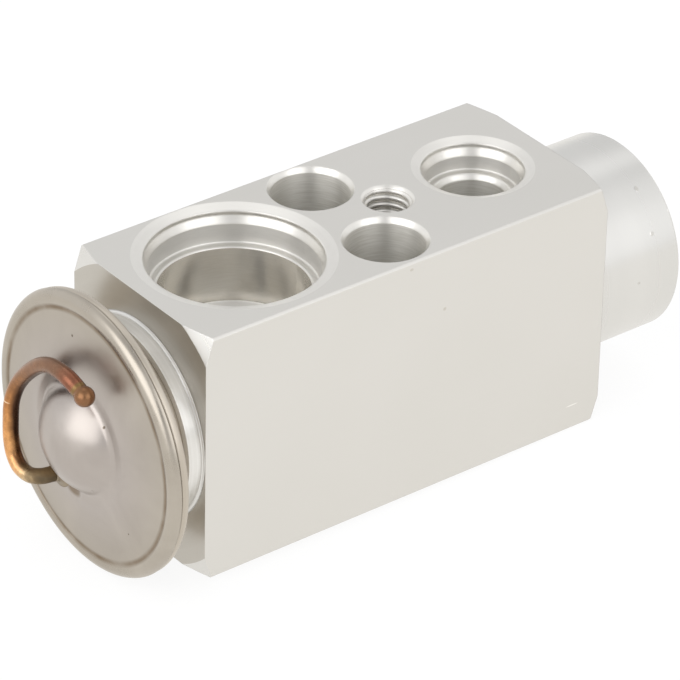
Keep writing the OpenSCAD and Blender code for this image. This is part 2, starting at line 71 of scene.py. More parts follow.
# Threads: radius of the wall they are cut in, of their tip and of the countersink over them
STUD_WALL_R, STUD_TIP_R, STUD_MOUTH_R, STUD_TURNS = 3.0, 2.58, 3.37, 11
BOSS_WALL_R, BOSS_TIP_R, BOSS_MOUTH_R, BOSS_TURNS = 7.05, 6.55, 7.45, 2.8
THREAD_PITCH = 1

# Cover of the head: the foot of its dome, its flange, the crease along its lip, the dome's
# ball and fillet, the lip's rounding with its middle and its ends, and the dimple by the tube
FOOT_X, FLANGE_X, CREASE_R = -9.0, -7.05, 16.4
DOME_R, DOME_X, DOME_FILLET = 8.5, -4.55, 1.2
LIP_ROUND, LIP_R, LIP_X = 1.3, 17.2, -6.85
LIP_START, LIP_END = 180 + 57.8, 360 - 8.8
DIMPLE, DIMPLE_R, DIMPLE_DEPTH = (FOOT_X, 1.0, -8.0), 1.7, 0.32

# Charging tube: its foot across the head, its bead, the nick in its bend, its loop's middle
TUBE_R, TUBE_FOOT = 1, (4, -6.8)
BEAD_PLACE, BEAD_R = (-11.5, -4.9, 9.5), 1.3
NICK = (-12.7, 10.2, 1.4)
LOOP_MIDDLE = place(FOOT_X - 1.2, 3.2, 1.6)

SPRING_WIRE_R, SPRING_TURNS = 0.7, 4.5

# Camera, at the photograph's place and turned a little about its own line of sight
CAMERA_PLACE = (-0.32988, -0.41658, 0.35117)
CAMERA_AZIMUTH, CAMERA_ELEVATION, CAMERA_ROLL = -38.345, 32.108, 1.321
CAMERA_LENS, CAMERA_SENSOR = 266.6, 36


def look(azimuth, elevation, roll=0):
    """The way back to an azimuth and elevation in degrees, and the turn that looks from there."""
    a, e = radians(azimuth), radians(elevation)
    back = Vector((sin(a) * cos(e), -cos(a) * cos(e), sin(e)))
    return back, Quaternion(back, radians(roll)) @ (-back).to_track_quat("-Z", "Y")


camera = bpy.data.objects.new("camera", bpy.data.cameras.new("camera"))
bpy.context.scene.collection.objects.link(camera)
bpy.context.scene.camera = camera
camera.data.sensor_width = CAMERA_SENSOR
camera.data.lens = CAMERA_LENS
camera.data.clip_start, camera.data.clip_end = 0.01, 20
camera.rotation_mode = "QUATERNION"
camera.rotation_quaternion = look(CAMERA_AZIMUTH, CAMERA_ELEVATION, CAMERA_ROLL)[1]
camera.location = CAMERA_PLACE


# Materials

# A Mix node's sockets go by number, because its colours and its numbers share their names
A, B, MIXED = 6, 7, 2
NUMBER_A, NUMBER_B = 2, 3

# Worn edges look this round, and catch the light as a thin line. The form tool left those of
# its cones rounder.
EDGE_WEAR, CONE_WEAR = 0.16 * MM, 0.4 * MM
WEAR_SAMPLES = 6

# Height of a bump of strength 1, and depth in mm of a dent in a turned face
RELIEF = 0.1 * MM
DENT_DEPTH = 0.035


def linear(code):
    """An sRGB hex colour as linear red, green, blue, alpha."""
    parts = [int(code[i:i + 2], 16) / 255 for i in (1, 3, 5)]
    return [c / 12.92 if c <= 0.04045 else ((c + 0.055) / 1.055) ** 2.4 for c in parts] + [1.0]


def add(tree, kind, inputs=None, **settings):
    """Adds a node: settings are its properties, inputs its values or the sockets that feed it."""
    node = tree.nodes.new(kind)
    for name, value in settings.items():
        setattr(node, name, value)
    for name, value in (inputs or {}).items():
        if isinstance(value, bpy.types.NodeSocket):
            tree.links.new(value, node.inputs[name])
        else:
            node.inputs[name].default_value = value
    return node


def new_material(name, **constants):
    """A Principled material with its constants set.

    Comes with its node tree, its shader and the place on the valve in mm that patterns read."""
    material = bpy.data.materials.new(name)
    material.use_nodes = True
    tree = material.node_tree
    shader = tree.nodes["Principled BSDF"]
    for key, value in constants.items():
        shader.inputs[key.replace("_", " ")].default_value = value
    coordinates = add(tree, "ShaderNodeTexCoord").outputs["Object"]
    centred = add(tree, "ShaderNodeVectorMath", {0: coordinates, 1: AXIS}, operation="SUBTRACT")
    in_mm = add(tree, "ShaderNodeVectorMath", {0: centred.outputs[0], "Scale": 1 / MM}, operation="SCALE")
    return material, tree, shader, in_mm.outputs[0]


def marks(tree, p, places):
    """A mask that is 1 on small marks, each given as its centre and its half sizes in valve mm."""
    nearest = None
    for centre, size in places:
        offset = add(tree, "ShaderNodeVectorMath", {0: p, 1: centre}, operation="SUBTRACT")
        share = add(tree, "ShaderNodeVectorMath", {0: offset.outputs[0], 1: size}, operation="DIVIDE")
        far = add(tree, "ShaderNodeVectorMath", {0: share.outputs[0]}, operation="LENGTH").outputs["Value"]
        if nearest is not None:
            far = add(tree, "ShaderNodeMath", {0: nearest, 1: far}, operation="MINIMUM").outputs[0]
        nearest = far
    return add(tree, "ShaderNodeMapRange", {"Value": nearest, "From Min": 0.6, "From Max": 1,
                                            "To Min": 1, "To Max": 0}).outputs[0]


# Extruded aluminium bar, etched and degreased: an even satin grey, a very faint cloud in its
# tone, streaks along the bar in its gloss, and the few handling marks of the photograph. The
# die's lines are finer than 0.1 mm, and are drawn streak_mm wide so that they show.
def extruded_aluminium():
    cloud_mm, streak_l_mm, streak_mm = 20, 50, 2 / 3
    material, tree, shader, p = new_material("extruded aluminium", Metallic=1)
    cloud = add(tree, "ShaderNodeTexNoise", {"Vector": p, "Scale": 1 / cloud_mm, "Detail": 2})
    colour = add(tree, "ShaderNodeMix", {"Factor": cloud.outputs[0], A: linear("#DAD8D3"),
                                         B: linear("#DEDCD8")}, data_type="RGBA").outputs[MIXED]
    dents = marks(tree, p, [((36.3, -13.5, 8.7), (0.3, 0.5, 0.3)), ((30.9, -13.5, 16.2), (0.34, 0.5, 0.24))])
    scratch = marks(tree, p, [((57.8, -13.5, -13.45), (1.1, 0.5, 0.11))])
    for mask, code in ((dents, "#CECAC2"), (scratch, "#F4F2EE")):
        colour = add(tree, "ShaderNodeMix", {"Factor": mask, A: colour, B: linear(code)},
                     data_type="RGBA").outputs[MIXED]
    tree.links.new(colour, shader.inputs["Base Color"])
    lines = add(tree, "ShaderNodeMapping", {"Vector": p, "Scale": (1 / streak_l_mm, 1 / streak_mm,
                                                                   1 / streak_mm)})
    streaks = add(tree, "ShaderNodeTexNoise", {"Vector": lines.outputs[0], "Scale": 1, "Detail": 3})
    rough = add(tree, "ShaderNodeMapRange", {"Value": streaks.outputs[0], "To Min": 0.3, "To Max": 0.37})
    tree.links.new(rough.outputs[0], shader.inputs["Roughness"])
    worn = add(tree, "ShaderNodeBevel", {"Radius": EDGE_WEAR}, samples=WEAR_SAMPLES)
    bump = add(tree, "ShaderNodeBump", {"Height": dents, "Strength": 0.2, "Distance": RELIEF / 2,
                                        "Normal": worn.outputs[0]})
    tree.links.new(bump.outputs[0], shader.inputs["Normal"])
    return material


# Turned metal, left by a lathe tool: its fine rings stretch each highlight across the lay, and
# its tone and gloss change from ring to ring. The feed of 0.1 mm is too fine to show, so rings
# are drawn ring_mm apart and ring_depth mm deep, or with no depth where only bands show. matt
# is the share of torn surface that scatters light.
def turned_metal(name, light, dark, rough, ring_mm, ring_depth, stretch=0.45, matt=0, dents=()):
    material, tree, shader, p = new_material(name, Metallic=1 - matt, Anisotropic=stretch,
                                             Anisotropic_Rotation=0.25)
    flat = add(tree, "ShaderNodeVectorMath", {0: p, 1: (0, 1, 1)}, operation="MULTIPLY")
    around = add(tree, "ShaderNodeVectorMath", {0: (1, 0, 0), 1: flat.outputs[0]}, operation="CROSS_PRODUCT")
    tree.links.new(around.outputs[0], shader.inputs["Tangent"])
    radius = add(tree, "ShaderNodeVectorMath", {0: flat.outputs[0]}, operation="LENGTH")
    along = add(tree, "ShaderNodeSeparateXYZ", {0: p})
    on_profile = add(tree, "ShaderNodeMath", {0: radius.outputs["Value"], 1: along.outputs["X"]},
                     operation="ADD")
    rings = add(tree, "ShaderNodeTexNoise", {"W": on_profile.outputs[0], "Scale": 1 / ring_mm, "Detail": 2},
                noise_dimensions="1D").outputs[0]
    colour = add(tree, "ShaderNodeMix", {"Factor": rings, A: linear(dark), B: linear(light)},
                 data_type="RGBA").outputs[MIXED]
    height = add(tree, "ShaderNodeMath", {0: rings, 1: ring_depth}, operation="MULTIPLY").outputs[0]
    if dents:
        mask = marks(tree, p, dents)
        colour = add(tree, "ShaderNodeMix", {"Factor": mask, A: colour, B: linear("#D0CEC9")},
                     data_type="RGBA").outputs[MIXED]
        height = add(tree, "ShaderNodeMath", {0: mask, 1: DENT_DEPTH, 2: height},
                     operation="MULTIPLY_ADD").outputs[0]
    tree.links.new(colour, shader.inputs["Base Color"])
    spread = add(tree, "ShaderNodeMapRange", {"Value": rings, "To Min": rough[0], "To Max": rough[1]})
    tree.links.new(spread.outputs[0], shader.inputs["Roughness"])
    worn = add(tree, "ShaderNodeBevel", {"Radius": EDGE_WEAR}, samples=WEAR_SAMPLES)
    bump = add(tree, "ShaderNodeBump", {"Height": height, "Distance": MM, "Normal": worn.outputs[0]})
    tree.links.new(bump.outputs[0], shader.inputs["Normal"])
    return material


# Bored aluminium, a hole's wall: the drill's rings stretch each reflection up and down the wall,
# and short level scuffs break it. The torn surface scatters light, so it is partly matt. The
# feed of 0.1 mm is drawn scuff_h_mm high so that it shows.
def bored_aluminium(name, light, dark, rough, matt, scuff_depth, stretch, scuff_mm=2.0, wear=EDGE_WEAR):
    scuff_h_mm = 1 / 6
    material, tree, shader, p = new_material(name, Metallic=1 - matt, Anisotropic=stretch)
    # Up the wall, and leaning a little, because it can't lie along a level face's normal
    upright = add(tree, "ShaderNodeCombineXYZ", {"X": 0.05, "Y": 0.03, "Z": 1})
    tree.links.new(upright.outputs[0], shader.inputs["Tangent"])
    level = add(tree, "ShaderNodeMapping", {"Vector": p, "Scale": (1 / scuff_mm, 1 / scuff_mm,
                                                                   1 / scuff_h_mm)})
    scuffs = add(tree, "ShaderNodeTexNoise", {"Vector": level.outputs[0], "Scale": 1, "Detail": 4,
                                              "Roughness": 0.6}).outputs[0]
    tone = add(tree, "ShaderNodeMix", {"Factor": scuffs, A: linear(dark), B: linear(light)},
               data_type="RGBA")
    tree.links.new(tone.outputs[MIXED], shader.inputs["Base Color"])
    spread = add(tree, "ShaderNodeMapRange", {"Value": scuffs, "To Min": rough[0], "To Max": rough[1]})
    tree.links.new(spread.outputs[0], shader.inputs["Roughness"])
    worn = add(tree, "ShaderNodeBevel", {"Radius": wear}, samples=WEAR_SAMPLES)
    bump = add(tree, "ShaderNodeBump", {"Height": scuffs, "Strength": scuff_depth, "Distance": RELIEF,
                                        "Normal": worn.outputs[0]})
    tree.links.new(bump.outputs[0], shader.inputs["Normal"])
    return material


# Pressed stainless sheet, pickled after welding: cool grey in the middle and beige towards the
# rim, soft mottling in its gloss, a brown tint in the crease along the lip, darker over the
# dimple by the tube's foot, and a few pits. Its drawn dome and its rubbed lip are glossier than the face.
def pressed_stainless():
    mottle_mm, patch_mm, wave_mm = 7.14, 4, 3.33
    material, tree, shader, p = new_material("pressed stainless steel", Metallic=1)
    flat = add(tree, "ShaderNodeVectorMath", {0: p, 1: (0, 1, 1)}, operation="MULTIPLY")
    radius = add(tree, "ShaderNodeVectorMath", {0: flat.outputs[0]}, operation="LENGTH").outputs["Value"]
    cloud = add(tree, "ShaderNodeTexNoise", {"Vector": p, "Scale": 1 / mottle_mm, "Detail": 4,
                                             "Roughness": 0.55, "Distortion": 0.6}).outputs[0]
    middle = add(tree, "ShaderNodeMix", {"Factor": cloud, A: linear("#A59D98"), B: linear("#C6BFB9")},
                 data_type="RGBA")
    rim = add(tree, "ShaderNodeMix", {"Factor": cloud, A: linear("#A29A8F"), B: linear("#C2BBB0")},
              data_type="RGBA")
    outwards = add(tree, "ShaderNodeMapRange", {"Value": radius, "From Min": 9, "From Max": 17})
    colour = add(tree, "ShaderNodeMix", {"Factor": outwards.outputs[0], A: middle.outputs[MIXED],
                                         B: rim.outputs[MIXED]}, data_type="RGBA").outputs[MIXED]
    crease = add(tree, "ShaderNodeMath", {0: radius, 1: CREASE_R}, operation="SUBTRACT")
    near = add(tree, "ShaderNodeMath", {0: crease.outputs[0]}, operation="ABSOLUTE")
    line = add(tree, "ShaderNodeMapRange", {"Value": near.outputs[0], "From Min": 0.1, "From Max": 0.5,
                                            "To Min": 1.5, "To Max": 0})
    patchy = add(tree, "ShaderNodeTexNoise", {"Vector": p, "Scale": 1 / patch_mm, "Detail": 3})
    tint = add(tree, "ShaderNodeMath", {0: line.outputs[0], 1: patchy.outputs[0]}, operation="MULTIPLY")
    # Darker over the dimple by the tube's foot
    darker_dimple = marks(tree, p, [((FOOT_X, 1.2, -8.1), (1.5, 1.5, 1.0))])
    pits = marks(tree, p, [((-8.6, 2.1, 13.3), (1, 0.22, 0.22)), ((-8.9, -5.6, 4.6), (1.5, 0.2, 0.24)),
                           ((-8.9, -4.3, -4.8), (1.5, 0.26, 0.24)), ((-8.3, 9.5, -10.5), (1, 0.15, 0.15)),
                           ((-8.3, -9.4, -9), (1, 0.14, 0.14))])
    for mask, code in ((tint.outputs[0], "#7F6E5A"), (darker_dimple, "#8D8072"), (pits, "#756B60")):
        colour = add(tree, "ShaderNodeMix", {"Factor": mask, A: colour, B: linear(code)},
                     data_type="RGBA").outputs[MIXED]
    tree.links.new(colour, shader.inputs["Base Color"])
    rough = add(tree, "ShaderNodeMapRange", {"Value": cloud, "From Min": 0.3, "From Max": 0.7,
                                             "To Min": 0.32, "To Max": 0.5})
    rubbed = add(tree, "ShaderNodeMapRange", {"Value": radius, "From Min": 16, "From Max": 17,
                                              "To Min": 1, "To Max": 0.72})
    drawn = add(tree, "ShaderNodeMapRange", {"Value": radius, "From Min": 9.5, "From Max": 11,
                                             "To Min": 0.88})
    at_lip = add(tree, "ShaderNodeMath", {0: rough.outputs[0], 1: rubbed.outputs[0]}, operation="MULTIPLY")
    at_dome = add(tree, "ShaderNodeMath", {0: at_lip.outputs[0], 1: drawn.outputs[0]}, operation="MULTIPLY")
    tree.links.new(at_dome.outputs[0], shader.inputs["Roughness"])
    waves = add(tree, "ShaderNodeTexNoise", {"Vector": p, "Scale": 1 / wave_mm, "Detail": 2})
    bump = add(tree, "ShaderNodeBump", {"Height": waves.outputs[0], "Strength": 0.25, "Distance": RELIEF})
    tree.links.new(bump.outputs[0], shader.inputs["Normal"])
    return material


# Colours along the charging tube, from its foot to its bead, as (place, sRGB hex): torch colours with a
# painted highlight on the outside of its bend, and torch colours with painted shade on the side that faces
# the loop
# The brightest stops, round 0.27 to 0.42, hold a painted highlight on the lower outer bend
OUTER_HEAT_AND_HIGHLIGHT = [(0.06, "#5E5343"), (0.13, "#75684F"), (0.19, "#675B48"), (0.23, "#86755A"),
                (0.27, "#E2C499"), (0.33, "#F4BC84"), (0.42, "#EDAE70"), (0.54, "#C88B56"),
                (0.64, "#9C6E4A"), (0.84, "#8C6A55"), (0.92, "#94604B"), (1.0, "#95604A")]
# The darker stops are painted shade on the side that faces the loop, over the torch's oxide
INNER_HEAT_AND_SHADE = [(0.05, "#7C6848"), (0.27, "#80694A"), (0.36, "#6B4428"), (0.46, "#432A1C"),
                (0.68, "#553A2A"), (0.84, "#6B4E3E"), (0.92, "#7A4636"), (1.0, "#865341")]


# Drawn copper, oxidised by the brazing torch: orange on the outside of its bend, with a painted highlight
# there, and nearly black on the side that faces the loop, which is painted shade; dusty on top, redder
# towards the bead, with a greenish ring behind the bead and a dull, lumpy crust of braze on its foot. The
# sweep's "along" runs from the foot to the bead, and its "inside" is 1 on the side that faces the loop.
def torched_copper():
    cloud_mm, speckle_mm = 2.22, 0.769
    crust_start, crust_end = 0.22, 0.29
    material, tree, shader, p = new_material("torched copper", Metallic=0.92)
    along = add(tree, "ShaderNodeAttribute", attribute_name="along").outputs["Fac"]
    inside = add(tree, "ShaderNodeAttribute", attribute_name="inside").outputs["Fac"]
    cloud = add(tree, "ShaderNodeTexNoise", {"Vector": p, "Scale": 1 / cloud_mm, "Detail": 4,
                                             "Roughness": 0.55}).outputs[0]
    speckle = add(tree, "ShaderNodeTexNoise", {"Vector": p, "Scale": 1 / speckle_mm, "Detail": 4,
                                               "Roughness": 0.7}).outputs[0]
    ragged = add(tree, "ShaderNodeMath", {0: cloud, 1: 0.12, 2: along}, operation="MULTIPLY_ADD").outputs[0]
    ramp_colours_and_light = []
    for stops in (OUTER_HEAT_AND_HIGHLIGHT, INNER_HEAT_AND_SHADE):
        tones = add(tree, "ShaderNodeValToRGB", {0: ragged})
        elements = tones.color_ramp.elements
        while len(elements) < len(stops):
            elements.new(1)
        for element, (position, code) in zip(elements, stops):
            element.position = position
            element.color = linear(code)
        ramp_colours_and_light.append(tones.outputs["Color"])
    # Towards the side that faces the loop the darker colours take over: painted shade
    turned_in = add(tree, "ShaderNodeMath", {0: cloud, 1: 0.5, 2: inside}, operation="MULTIPLY_ADD")
    shaded_side = add(tree, "ShaderNodeMapRange", {"Value": turned_in.outputs[0], "From Min": 0.55,
                                                   "From Max": 1.1})
    colour = add(tree, "ShaderNodeMix", {"Factor": shaded_side.outputs[0], A: ramp_colours_and_light[0], B: ramp_colours_and_light[1]},
                 data_type="RGBA").outputs[MIXED]
    dust = add(tree, "ShaderNodeMapRange", {"Value": speckle, "From Min": 0.4, "From Max": 0.66,
                                            "To Min": 0.3, "To Max": 0})
    to_bead = add(tree, "ShaderNodeVectorMath", {0: p, 1: BEAD_PLACE}, operation="DISTANCE").outputs["Value"]
    behind = add(tree, "ShaderNodeMath", {0: to_bead, 1: BEAD_R + 0.25}, operation="SUBTRACT")
    ring_near = add(tree, "ShaderNodeMath", {0: behind.outputs[0]}, operation="ABSOLUTE")
    ring = add(tree, "ShaderNodeMapRange", {"Value": ring_near.outputs[0], "From Min": 0.1, "From Max": 0.4,
                                            "To Min": 0.7, "To Max": 0})
    nick = marks(tree, p, [(NICK, (0.9, 0.9, 0.1))])
    for mask, code in ((dust.outputs[0], "#5C4634"), (ring.outputs[0], "#857348"), (nick, "#F2D3AE")):
        colour = add(tree, "ShaderNodeMix", {"Factor": mask, A: colour, B: linear(code)},
                     data_type="RGBA").outputs[MIXED]
    tree.links.new(colour, shader.inputs["Base Color"])
    rough = add(tree, "ShaderNodeMapRange", {"Value": cloud, "To Min": 0.2, "To Max": 0.36})
    crusted = add(tree, "ShaderNodeMapRange", {"Value": ragged, "From Min": crust_start,
                                               "From Max": crust_end, "To Min": 0.6,
                                               "To Max": 0}).outputs[0]
    dulled = add(tree, "ShaderNodeMath", {0: rough.outputs[0], 1: crusted}, operation="MAXIMUM")
    tree.links.new(dulled.outputs[0], shader.inputs["Roughness"])
    lumps = add(tree, "ShaderNodeMath", {0: crusted, 1: 1.5, 2: 0.2}, operation="MULTIPLY_ADD")
    bump = add(tree, "ShaderNodeBump", {"Height": speckle, "Strength": lumps.outputs[0], "Distance": RELIEF})
    tree.links.new(bump.outputs[0], shader.inputs["Normal"])
    return material


# Plain finishes, for rubber, ground and drawn steel and melted braze: two close tones and a fine
# grain in the gloss, drawn grain_mm across so that it shows
def plain_finish(name, light, dark, metallic, rough, grain_mm):
    material, tree, shader, p = new_material(name, Metallic=metallic)
    grain = add(tree, "ShaderNodeTexNoise", {"Vector": p, "Scale": 1 / grain_mm, "Detail": 3}).outputs[0]
    tone = add(tree, "ShaderNodeMix", {"Factor": grain, A: linear(dark), B: linear(light)}, data_type="RGBA")
    tree.links.new(tone.outputs[MIXED], shader.inputs["Base Color"])
    spread = add(tree, "ShaderNodeMapRange", {"Value": grain, "To Min": rough * 0.8, "To Max": rough * 1.2})
    tree.links.new(spread.outputs[0], shader.inputs["Roughness"])
    bump = add(tree, "ShaderNodeBump", {"Height": grain, "Strength": 0.1, "Distance": RELIEF})
    tree.links.new(bump.outputs[0], shader.inputs["Normal"])
    return material


flank = extruded_aluminium()
# The boss, smooth and bright with slow bands and four handling dents
turned = turned_metal("turned aluminium", "#DFDEDB", "#DAD9D6", rough=(0.26, 0.3), ring_mm=6, ring_depth=0,
                      dents=[((72.1, -7.5, 10.6), (0.35, 0.5, 0.35)), ((71.6, -11.5, 6.1), (0.3, 0.5, 0.3)),
                             ((68.5, -13, 0.6), (0.24, 0.4, 0.24)), ((75.3, -10.4, 7.8), (0.3, 0.5, 0.3))])
# The block's end face, its rings nearly without depth and its tone darker as painted shade from the head
# before it, and the collar, bright with fine rings
shaded_end_face = turned_metal("coarse-turned aluminium", "#C6C2BB", "#BCB8B0", rough=(0.26, 0.3), ring_mm=1.8,
                          ring_depth=0.0003, stretch=0.6)
bright_turned = turned_metal("fine-turned aluminium", "#F4F3F0", "#DAD8D3", rough=(0.26, 0.36), ring_mm=0.5,
                             ring_depth=0.004, stretch=0.9, matt=0.22)
# The holes: passages, the form tool's smooth cones, the ports' even seal walls, the bolts' torn bores
bored = bored_aluminium("bored aluminium", "#EAE7E0", "#D9D4CA", rough=(0.18, 0.28), matt=0.3,
                        scuff_depth=0.035, stretch=0.7)
burnished = bored_aluminium("form-tooled aluminium", "#E9E7E3", "#E1DFDA", rough=(0.3, 0.36), matt=0.1,
                            scuff_depth=0.008, stretch=0.3, wear=CONE_WEAR)
reamed = bored_aluminium("reamed aluminium", "#DAD8D4", "#CECCC7", rough=(0.4, 0.46), matt=0.35,
                         scuff_depth=0.01, stretch=0.9)
drilled = bored_aluminium("drilled aluminium", "#F6F5F1", "#C4C0B6", rough=(0.42, 0.58), matt=0.2,
                          scuff_depth=0.06, stretch=0.9, scuff_mm=3.2)
cover_steel = pressed_stainless()
# The head's base, beige and softly ringed, as the flange under the lip shows it
base_steel = turned_metal("turned stainless steel", "#C8C0B4", "#B7AEA1", rough=(0.3, 0.36), ring_mm=0.9,
                          ring_depth=0.002)
copper = torched_copper()
# Melted braze, dull and a little lumpy where it ran round the tube's foot
braze_metal = plain_finish("silver braze", "#A79A85", "#83776A", metallic=1, rough=0.4, grain_mm=0.8)
# Inside the valve: soft black rubber, warm ringed brass, mirror-ground steel, greyer drawn steel,
# and bright ringed aluminium
rubber = plain_finish("moulded rubber", "#2A2A2A", "#1E1E1E", metallic=0, rough=0.55, grain_mm=0.5)
brass = turned_metal("turned brass", "#D3BC8C", "#C2A873", rough=(0.24, 0.32), ring_mm=0.9, ring_depth=0.002)
ground = plain_finish("ground steel", "#D2D2D0", "#C6C6C4", metallic=1, rough=0.12, grain_mm=0.4)
spring_steel = plain_finish("drawn spring steel", "#BDBDBA", "#A9A9A6", metallic=1, rough=0.26, grain_mm=0.3)
inner_aluminium = turned_metal("turned inner aluminium", "#DDDCD9", "#CFCDC9", rough=(0.2, 0.3), ring_mm=0.5,
                               ring_depth=0.01)

BLOCK_FINISHES = [flank, turned, bored, burnished, bright_turned, shaded_end_face, reamed, drilled]

# Bounds between the block's finishes, in mm. A face within FLUSH of a plane lies in it, LEVEL is
# a normal that points along its axis, and SLOPED and LEANING tell a cone from a wall.
FLUSH = 0.002
LEVEL, SLOPED, LEANING = 0.99, 0.3, 0.15
ADJUSTER_BORE_R = 7.1
BROKEN_EDGE = 0.26
CORNER_L, CORNER_R = 1.3, 19
COUNTERSINK_DEPTH = 1.1
CONE_DEPTH, PASSAGE_Z = 13, 4.3
DRILLED_R = 5.6
LIQUID_MOUTH_DEPTH, LIQUID_MOUTH_X = 4.6, 45
SEAL_WALL_DEPTH, STUD_HOLE_R = 4.7, 3.3


def block_finish(centre, normal):
    """The finish that the tool left on one of the block's faces."""
    x, y, z = centre / MM - Vector((HEAD_END_X, 0, AXIS_Z))
    if x < -FLUSH:
        return bright_turned
    if x < FLUSH:
        return shaded_end_face
    if x > BLOCK_L - FLUSH:
        return bored if hypot(y, z) < ADJUSTER_BORE_R else turned
    if abs(y) > BLOCK_W / 2 - BROKEN_EDGE and abs(normal.x) < SLOPED:
        return flank
    if max(z - TOP, BOTTOM - z) > -FLUSH and abs(normal.z) > LEVEL:
        return flank
    if abs(normal.x) > SLOPED and (x < CORNER_L or x > BLOCK_L - CORNER_L) and hypot(y, z) > CORNER_R:
        return turned
    depth = min(TOP - z, z - BOTTOM)
    if depth < COUNTERSINK_DEPTH or (abs(normal.z) > LEANING and depth < CONE_DEPTH and abs(z) > PASSAGE_Z):
        return burnished
    in_liquid_mouth = depth < LIQUID_MOUTH_DEPTH and x > LIQUID_MOUTH_X
    if min(hypot(x - hole[0], y - hole[1]) for hole in BOLTS + [LIQUID]) < DRILLED_R and not in_liquid_mouth:
        return drilled
    if depth < SEAL_WALL_DEPTH and hypot(x - STUD[0], y - STUD[1]) > STUD_HOLE_R:
        return reamed
    return bored


def dress(name, *materials):
    """Gives a CAD node its materials."""
    slots = nodes[name].data.materials
    slots.clear()
    for material in materials:
        slots.append(material)


dress("valve_body", *BLOCK_FINISHES)
for face in nodes["valve_body"].data.polygons:
    face.material_index = BLOCK_FINISHES.index(block_finish(face.center, face.normal))
for name, finish in (("head_base", base_steel), ("ball_carrier", base_steel), ("diaphragm", spring_steel),
                     ("damping_clip", spring_steel), ("head_seal", rubber), ("rod_seal", rubber),
                     ("adjuster_seal", rubber), ("stop_plate", inner_aluminium),
                     ("sensing_rod", inner_aluminium), ("operating_pin", ground), ("valve_ball", ground),
                     ("seal_retainer", brass), ("adjusting_screw", brass)):
    dress(name, finish)


# Detailed pieces

def finish_piece(name, bm, material, body, node_names=(), smooth=True):
    """Makes the bmesh a piece that rides on its body, or on none where it bends between two."""
    mesh = bpy.data.meshes.new(name)
    if smooth:
        for face in bm.faces:
            face.smooth = True
    bm.to_mesh(mesh)
    bm.free()
    mesh.materials.append(material)
    piece = bpy.data.objects.new(name, mesh)
    bpy.context.scene.collection.objects.link(piece)
    if body:
        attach(piece, body)
    if node_names:
        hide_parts(*node_names)
    return piece


def arc(centre, radius, start, end, steps):
    """Profile points along an arc, from angle start to angle end in degrees."""
    angles = [radians(start + (end - start) * i / steps) for i in range(steps + 1)]
    return [(centre[0] + radius * cos(angle), centre[1] + radius * sin(angle)) for angle in angles]


# Steps round a form turned about the valve axis, and the gap at which its ends are merged
ROUND_STEPS, MERGE_GAP = 192, 0.001 * MM


def spin_profile(profile, steps, middle=AXIS, closed=False):
    """A turned form about the valve axis or a line beside it, from profile points (radius, x) in mm."""
    bm = bmesh.new()
    verts = [bm.verts.new(middle + Vector((x, 0, r)) * MM) for r, x in profile]
    edges = [bm.edges.new(pair) for pair in zip(verts, verts[1:] + verts[:1] if closed else verts[1:])]
    bmesh.ops.spin(bm, geom=verts + edges, cent=middle, axis=(1, 0, 0), dvec=(0, 0, 0), angle=2 * pi,
                   steps=steps, use_merge=True, use_duplicate=False)
    bmesh.ops.remove_doubles(bm, verts=bm.verts, dist=MERGE_GAP)
    bmesh.ops.recalc_face_normals(bm, faces=bm.faces)
    return bm


# Cover of the head: dome, filleted foot with a faint raised ring, crowned face and rounded lip,
# then back under the flange and inside the dome, whose wall is 1 mm thick
COVER_WALL = 1
INNER_RIM_R, INNER_FOOT_R, INNER_DOME_ANGLE = LIP_R - 2, 6.7, 62.6
RING_RISE = [(8.3, 0.0), (8.6, 0.04), (8.9, 0.05), (9.3, 0.03), (9.8, 0)]
FACE_RADII = (10.5, 11.5, 12.5, 13.5, 14.5, 15.5, 16.1, 16.35)


def pressed_cover():
    fillet_r = sqrt((DOME_R + DOME_FILLET) ** 2 - (DOME_X - FOOT_X + DOME_FILLET) ** 2)
    foot_angle = degrees(asin(fillet_r / (DOME_R + DOME_FILLET)))
    profile = arc((0, DOME_X), DOME_R, -90, -90 + foot_angle, steps=40)
    profile += arc((fillet_r, FOOT_X - DOME_FILLET), DOME_FILLET, 90 + foot_angle, 90, steps=12)[1:]
    lip_r, lip_x = arc((LIP_R, LIP_X), LIP_ROUND, LIP_START, LIP_START, steps=1)[0]
    for r, rise in RING_RISE + [(r, 0) for r in FACE_RADII]:
        share = (r - fillet_r) / (lip_r - fillet_r)
        profile.append((r, FOOT_X + (lip_x - FOOT_X) * share - rise))
    profile += arc((LIP_R, LIP_X), LIP_ROUND, LIP_START, LIP_END, steps=36)
    profile += [(INNER_RIM_R, FLANGE_X), (INNER_FOOT_R, FOOT_X + COVER_WALL)]
    profile += arc((0, DOME_X), DOME_R - COVER_WALL, -90 + INNER_DOME_ANGLE, -90, steps=16)
    bm = spin_profile(profile, ROUND_STEPS)
    dimple, under_skin_x = place(*DIMPLE), place(FOOT_X + COVER_WALL / 2, 0, 0).x
    for vert in bm.verts:
        gap = (vert.co - dimple).length / MM
        if gap < DIMPLE_R and vert.co.x < under_skin_x:
            vert.co.x += DIMPLE_DEPTH * MM * (1 - (gap / DIMPLE_R) ** 2) ** 2
    return bm


finish_piece("power_head_cover", pressed_cover(), cover_steel, "housing", ["head_cover"])


